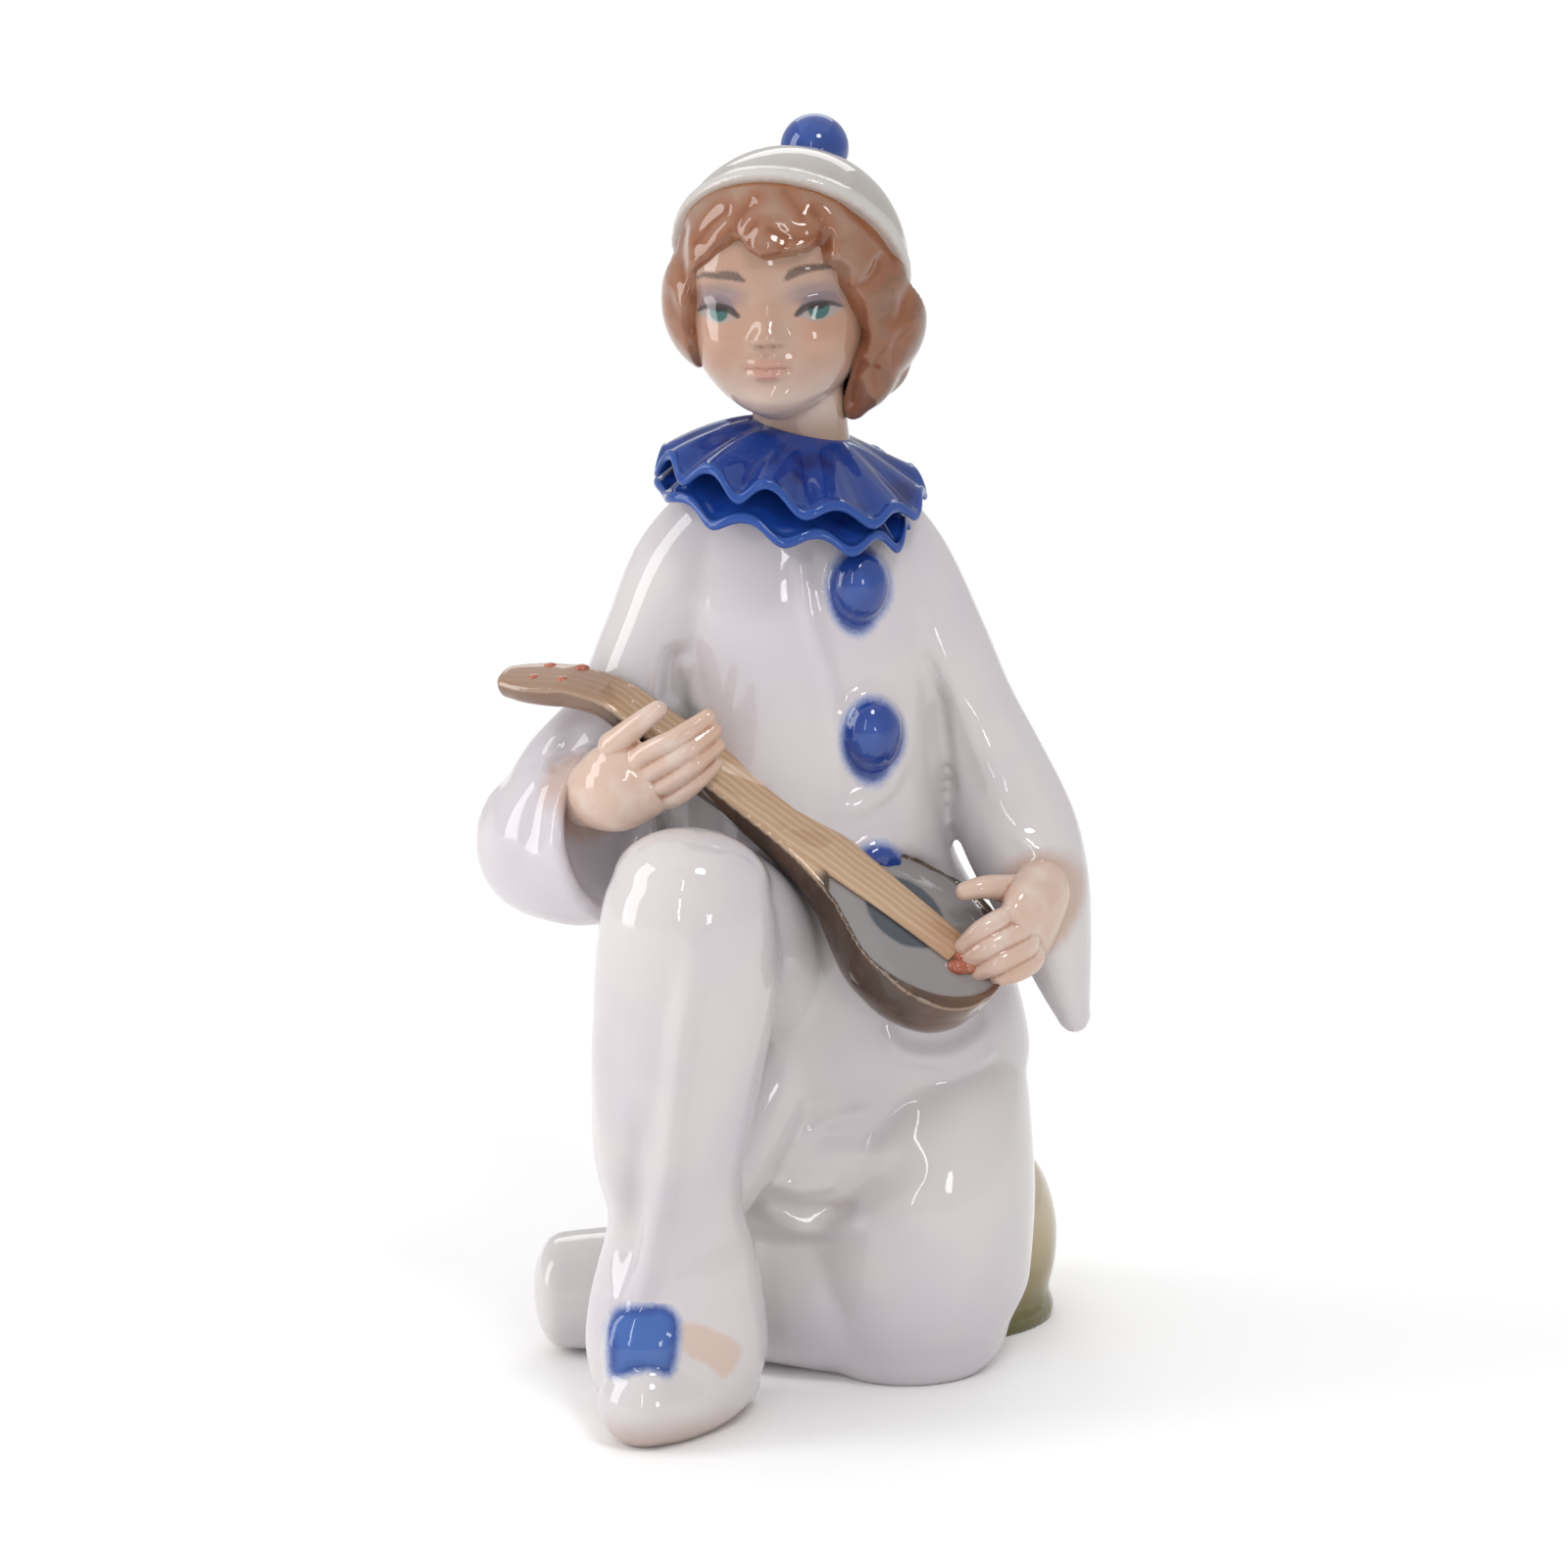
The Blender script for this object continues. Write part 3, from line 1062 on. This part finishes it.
NECK = Vector((-0.80, 0.145, 0.582)).normalized()
BOARD = Vector((0.446, -0.506, 0.739))
BOARD = (BOARD - NECK * BOARD.dot(NECK)).normalized()
ACROSS = NECK.cross(BOARD)
BODY_MIDDLE = Vector((20.9, -22.2, 81.9))
HALF_BODY, HALF_WIDTH, BOWL, NECK_LONG = 17.2, 14.4, 13.6, 47.0
NUT = BODY_MIDDLE + NECK * (HALF_BODY + NECK_LONG)
BEND = (NECK - 0.9 * BOARD).normalized()
HEAD_UP = (BOARD - BEND * BOARD.dot(BEND)).normalized()


def mandolin_place(along, across, up):
    """A point by its place along the neck, across it and above the board."""
    return BODY_MIDDLE + NECK * along + ACROSS * across + BOARD * up


def lay_strings(glaze, share):
    """Brushes wood with fine soft lines that run along the neck."""
    glaze.layer((184, 152, 120), share)
    wander = glaze.math("MULTIPLY", glaze.noise(7, 1), 4)
    lines = glaze.math("ADD", wander, glaze.math("MULTIPLY", glaze.field("across"), 4.4))
    lines = glaze.math("SINE", lines)
    dark = glaze.math("MULTIPLY", glaze.ramp(lines, -0.2, 1), share)
    glaze.layer((156, 118, 86), glaze.math("MULTIPLY", dark, 0.26))
    pale = glaze.math("MULTIPLY", glaze.ramp(lines, -0.3, -1), share)
    glaze.layer((206, 186, 162), glaze.math("MULTIPLY", pale, 0.34))


def mandolin():
    """A bowl-backed body with a thin rim, and a neck that bends back at its head."""
    bm = bmesh.new()
    teardrop = [
        (-0.97, 0, 0.30, 0.50), (-0.88, 0, 0.60, 0.72), (-0.68, 0, 0.86, 0.90),
        (-0.35, 0, 1.00, 1.00), (0.00, 0, 0.97, 0.98), (0.35, 0.3, 0.84, 0.86),
        (0.65, 0.2, 0.62, 0.70), (0.90, 0, 0.46, 0.54),
    ]
    rows = [
        (*mandolin_place(HALF_BODY * along, shift, 0), HALF_WIDTH * out, 0.8, BOWL * deep)
        for along, shift, out, deep in teardrop
    ]
    for along, shift, wide, thick in ((22.5, 0.6, 5.6, 6), (34, 1.1, 5.4, 5.2),
                                      (50, 0.9, 4.7, 4.6), (60, 0.5, 4.1, 4.2)):
        rows.append((*mandolin_place(along, shift, 0), wide, 0.8, thick))
    bend = NUT - BOARD * 0.8 + ACROSS * 0.5
    for reach, wide, face, thick in ((3, 4, 1, 4.2), (7, 4.3, 1.2, 3.8),
                                     (11.5, 4.1, 1.2, 3.4), (15.2, 3, 1.2, 3)):
        rows.append((*(bend + BEND * reach), wide, face, thick))
    loft(bm, rows, side=ACROSS, caps=(0.6, 1.4), count=64, corner=0.74, steps=8)
    skin = fuse(bm, voxel=0.42, passes=5)
    paint_mandolin(skin)
    return show(skin, "mandolin", mandolin_glaze())


def paint_mandolin(skin):
    """Sinks the soundboard, and keeps where the wood, the board and its hole are."""
    gap = skin.points - np.array(BODY_MIDDLE)
    along, across = gap @ np.array(NECK), gap @ np.array(ACROSS)
    facing = skin.normals() @ np.array(BOARD)
    inside_board = spot(np.stack([along, across], 1), (0, 0), (HALF_BODY - 1, HALF_WIDTH - 1))
    inside_board = np.where(facing > 0.6, inside_board, 30)
    skin.press(-0.7 * smoothstep(0.5, -0.4, inside_board))
    up = np.where((along > 62)[:, None], np.array(HEAD_UP), np.array(BOARD))
    facing = np.einsum("ij,ij->i", skin.normals(), up)
    skin.field("side", facing)
    skin.field("along", along)
    skin.field("across", across)
    skin.field("board", np.where((facing > 0.5) & (along < 19), inside_board, 30))
    hole = spot(np.stack([along, across], 1), (2.2, 0.3), (7.2, 7))
    skin.field("hole", np.where(facing > 0.6, hole, 30))


def mandolin_glaze():
    """Dark wood at the sides, paler strung wood on the neck, a grey soundboard."""
    glaze = Glaze("mandolin_glaze", (66, 48, 36))
    glaze.mottle((88, 66, 50), 7, -0.08, 0.2)
    glaze.brush("along", (104, 70, 50), -15, -6, 3, 4, 0.6)
    top = glaze.math("MULTIPLY", glaze.ramp(glaze.field("side"), 0.3, 0.75),
                     glaze.ramp(glaze.field("along"), 15.5, 18))
    lay_strings(glaze, top)
    tip = glaze.math("MULTIPLY", glaze.ramp(glaze.field("along"), 56, 64), 0.8)
    glaze.layer((134, 104, 86), tip)
    edge = glaze.math("MULTIPLY", glaze.ramp(glaze.field("side"), 0.1, 0.45),
                      glaze.ramp(glaze.field("side"), 0.85, 0.5))
    glaze.layer((176, 152, 132), glaze.math("MULTIPLY", edge, 0.55))
    glaze.brush("board", (134, 129, 129), -0.6, 0.2, 0.3, 1.5)
    glaze.brush("hole", (52, 62, 72), -0.5, 0.4, 0.5, 1.5, 0.9)
    return glaze.finish()


def strings():
    """The raised band of strings, from the neck over the sound hole to the bridge."""
    bm = bmesh.new()
    rows = []
    for along, shift, wide, up in ((27, 0.8, 5, -0.1), (21, 0.8, 5, 0.3),
                                   (14, 0.9, 4.6, 0.4), (6, 0.8, 4, 0.4), (0, 0.6, 3.7, 0.4),
                                   (-5, 0.4, 3.5, 0.4),
                                   (-8, 0.2, 3.3, 0.3)):
        rows.append((*mandolin_place(along, shift, up), wide, 0.5, 0.8))
    loft(bm, rows, side=ACROSS, caps=(0.3, 0.6), count=64, corner=0.7, steps=16)
    skin = shaped(bm)
    gap = skin.points - np.array(BODY_MIDDLE)
    skin.field("across", gap @ np.array(ACROSS))
    skin.field("along", gap @ np.array(NECK))
    glaze = Glaze("strings_glaze", (188, 152, 120))
    lay_strings(glaze, glaze.ramp(glaze.field("along"), -30, -20))
    glaze.brush("along", (166, 122, 94), -9, 4, 2, 3, 0.6)
    return show(skin, "strings", glaze.finish())


def pegs_and_bridge():
    """Four salmon pegs on the headstock and the bridge below the strings."""
    bm = bmesh.new()
    for reach, side in ((3, 3.2), (8.6, 3.2), (4.6, -0.6), (9.8, -0.4)):
        middle = NUT - BOARD * 0.8 + BEND * reach + ACROSS * side + HEAD_UP * 0.6
        ball(bm, tuple(middle), (1.3, 1.1, 0.8))
    for along, across in ((-9.6, -2.8), (-10.8, -1.4), (-9.2, -0.4), (-10.9, 0.9), (-9.4, 2)):
        ball(bm, tuple(mandolin_place(along, across, 0)), (1.9, 1.6, 1.3))
    skin = shaped(bm)
    glaze = Glaze("salmon_glaze", (156, 80, 56))
    glaze.mottle((170, 104, 80), 1.5, -0.1, 0.2)
    return show(skin, "pegs_and_bridge", glaze.finish())


# Hands

# Each hand: sections of its back, then the joints of the fingers and the thumb.
FINGER_RADIUS = 1.8
RIGHT_HAND = dict(
    back=[(-33.8, -6.4, 97.8, 4.4, 4.2), (-31.2, -13, 100.4, 5.4, 4.6),
          (-27.2, -18.2, 102.9, 7.2, 4.4), (-21.4, -20.6, 105.4, 6.2, 2.6)],
    fingers=[
        [(-22.2, -21.6, 109.2), (-17.2, -23.2, 112.2), (-12, -21.6, 115.4)],
        [(-20.6, -21.8, 106.8), (-15.6, -23.4, 110.2), (-11, -21.4, 113.2)],
        [(-19, -21.6, 104.4), (-14.6, -23.1, 107.8), (-10.6, -21, 110.6)],
        [(-17.9, -20.8, 102), (-14.2, -22, 104.8), (-11, -20.2, 107.4)],
    ],
    thumb=[(-27.2, -18.4, 109.8), (-23.4, -20.4, 113.6), (-20, -20.8, 116.3)],
)
LEFT_HAND = dict(
    back=[(41.6, -8.5, 84.2, 5.4, 5), (41, -13, 83.6, 6.2, 5),
          (39.2, -17.6, 81, 7.6, 4.4), (37.6, -20.6, 79, 6.6, 3)],
    fingers=[
        [(36.4, -21.2, 82.8), (31.6, -24.2, 81.2), (28.3, -23.9, 78.2)],
        [(37.4, -22.4, 80.4), (32.4, -25, 78.4), (28.9, -24.5, 75.7)],
        [(38.6, -22.4, 77.8), (34.4, -25.2, 76.1), (30.7, -24.9, 73.9)],
        [(39.8, -21.6, 75.4), (37, -24.2, 74.1), (34.1, -24.4, 73)],
    ],
    thumb=[(36.6, -16.2, 85.6), (32.2, -19.2, 86.8), (28.9, -20.2, 86.4)],
)


def hand_clay(bm, back, fingers, thumb):
    """The back of a hand, four fingers side by side, and a thumb."""
    radius = FINGER_RADIUS
    loft(bm, back, side=Z_AXIS, count=36, caps=(0.35, 0.5))
    palm = Vector(back[2][:3])
    for knuckle, middle, tip in fingers:
        root = palm.lerp(Vector(knuckle), 0.55)
        rows = ((root, 1), (Vector(knuckle), 1.02), (Vector(middle), 0.95), (Vector(tip), 0.74))
        loft(bm, [(*point, radius * size, radius * size) for point, size in rows], count=20)
    sizes = (1.4, 1.08, 0.88)
    loft(bm, [(*point, radius * size, radius * size) for point, size in zip(thumb, sizes)],
         count=20)


def hand(name, pose):
    """One hand, with warmer glaze at the finger tips, the wrist and the creases."""
    bm = bmesh.new()
    hand_clay(bm, **pose)
    skin = fuse(bm, voxel=0.3, passes=5)
    skin.field("hollow", skin.hollow(20))
    tips = [finger[2] for finger in pose["fingers"]]
    gaps = [np.linalg.norm(skin.points - np.array(tip), axis=1) for tip in tips]
    skin.field("tip", np.min(gaps, axis=0))
    wrist = np.linalg.norm(skin.points - np.array(pose["back"][0][:3]), axis=1)
    skin.field("wrist", wrist)
    glaze = Glaze(name + "_glaze", (200, 172, 156))
    glaze.mottle((206, 186, 174), 5, -0.1, 0.2)
    glaze.brush("tip", (192, 150, 126), 2, 8, 1.5, 2, 0.5)
    glaze.brush("wrist", (176, 128, 98), 4.6, 7.5, 1.2, 2, 0.7)
    glaze.deepen((152, 92, 58), 0, 0.22, 0.85)
    return show(skin, name, glaze.finish())


# Stage, light and camera

def to_frame(x, y, z):
    """A point in figure millimetres as a place in the frame."""
    return Vector((np.array((x, y, z)) - BOX_MIDDLE) * UNIT)


def stage():
    """A plain pale floor of paper."""
    bpy.ops.mesh.primitive_plane_add(size=12.0, location=(0, 0, 0))
    floor = bpy.context.object
    floor.name = "floor"
    paper = bpy.data.materials.new("pale_paper")
    paper.use_nodes = True
    shader = paper.node_tree.nodes["Principled BSDF"]
    shader.inputs["Roughness"].default_value = 0.9
    shader.inputs["Specular IOR Level"].default_value = 0.1
    grain = paper.node_tree.nodes.new("ShaderNodeTexNoise")
    grain.inputs["Scale"].default_value = 40.0
    tint = paper.node_tree.nodes.new("ShaderNodeValToRGB")
    tint.color_ramp.elements[0].color = (0.97, 0.97, 0.97, 1)
    tint.color_ramp.elements[1].color = (0.99, 0.99, 0.99, 1)
    paper.node_tree.links.new(grain.outputs["Fac"], tint.inputs["Fac"])
    paper.node_tree.links.new(tint.outputs["Color"], shader.inputs["Base Color"])
    floor.data.materials.append(paper)


def softbox(name, place, target, size, power, shape="RECTANGLE"):
    """An area light that looks at a target."""
    light = bpy.data.lights.new(name, "AREA")
    light.shape = shape
    light.size, light.size_y = size
    light.energy = power
    lamp = bpy.data.objects.new(name, light)
    bpy.context.scene.collection.objects.link(lamp)
    lamp.location = place
    lamp.rotation_euler = (Vector(target) - Vector(place)).to_track_quat("-Z", "Y").to_euler()


def lights():
    """A wide soft sky, softer lights at the sides, and a white room."""
    middle = (0, 0, 0.1)
    softbox("sky", (0, 0.7, 1.7), (0, 0.7, 0), (2.6, 3), 7.6)
    softbox("floor_light", (0, 2.4, 1.3), (0, 1.9, 0), (2, 1), 11)
    softbox("umbrella", (0.24, -0.62, 0.98), middle, (0.26, 0.26), 2.5, "ELLIPSE")
    softbox("left_wall", (-1.05, -0.16, 0.40), middle, (0.45, 1.2), 6.6)
    softbox("strip", (-0.25, -1.15, 0.50), middle, (0.05, 0.70), 0.9)
    softbox("right_window", (0.50, -1, 0.22), middle, (0.14, 0.18), 0.6)
    room = bpy.data.worlds.new("room")
    room.use_nodes = True
    room.node_tree.nodes["Background"].inputs["Color"].default_value = (1, 1, 1, 1)
    room.node_tree.nodes["Background"].inputs["Strength"].default_value = 0.66
    bpy.context.scene.world = room


def camera():
    """The photograph's camera."""
    data = bpy.data.cameras.new("camera")
    data.sensor_width = SENSOR
    data.lens = SENSOR * PIXELS_PER_MM * VIEW_DISTANCE / FRAME_PIXELS
    data.clip_start = 0.01
    eye = bpy.data.objects.new("camera", data)
    bpy.context.scene.collection.objects.link(eye)
    back = Vector((0, -math.cos(VIEW_RISE), math.sin(VIEW_RISE)))
    eye.location = to_frame(0, 0, VIEW_HEIGHT) + back * (VIEW_DISTANCE * UNIT)
    eye.rotation_euler = (-back).to_track_quat("-Z", "Y").to_euler()
    bpy.context.scene.camera = eye


for make in (camera, costume, mound, head, hair, cap, pompom, collar, mandolin, strings,
             pegs_and_bridge):
    make()
hand("right_hand", RIGHT_HAND)
hand("left_hand", LEFT_HAND)
stage()
lights()
bpy.context.scene.view_settings.view_transform = "Standard"
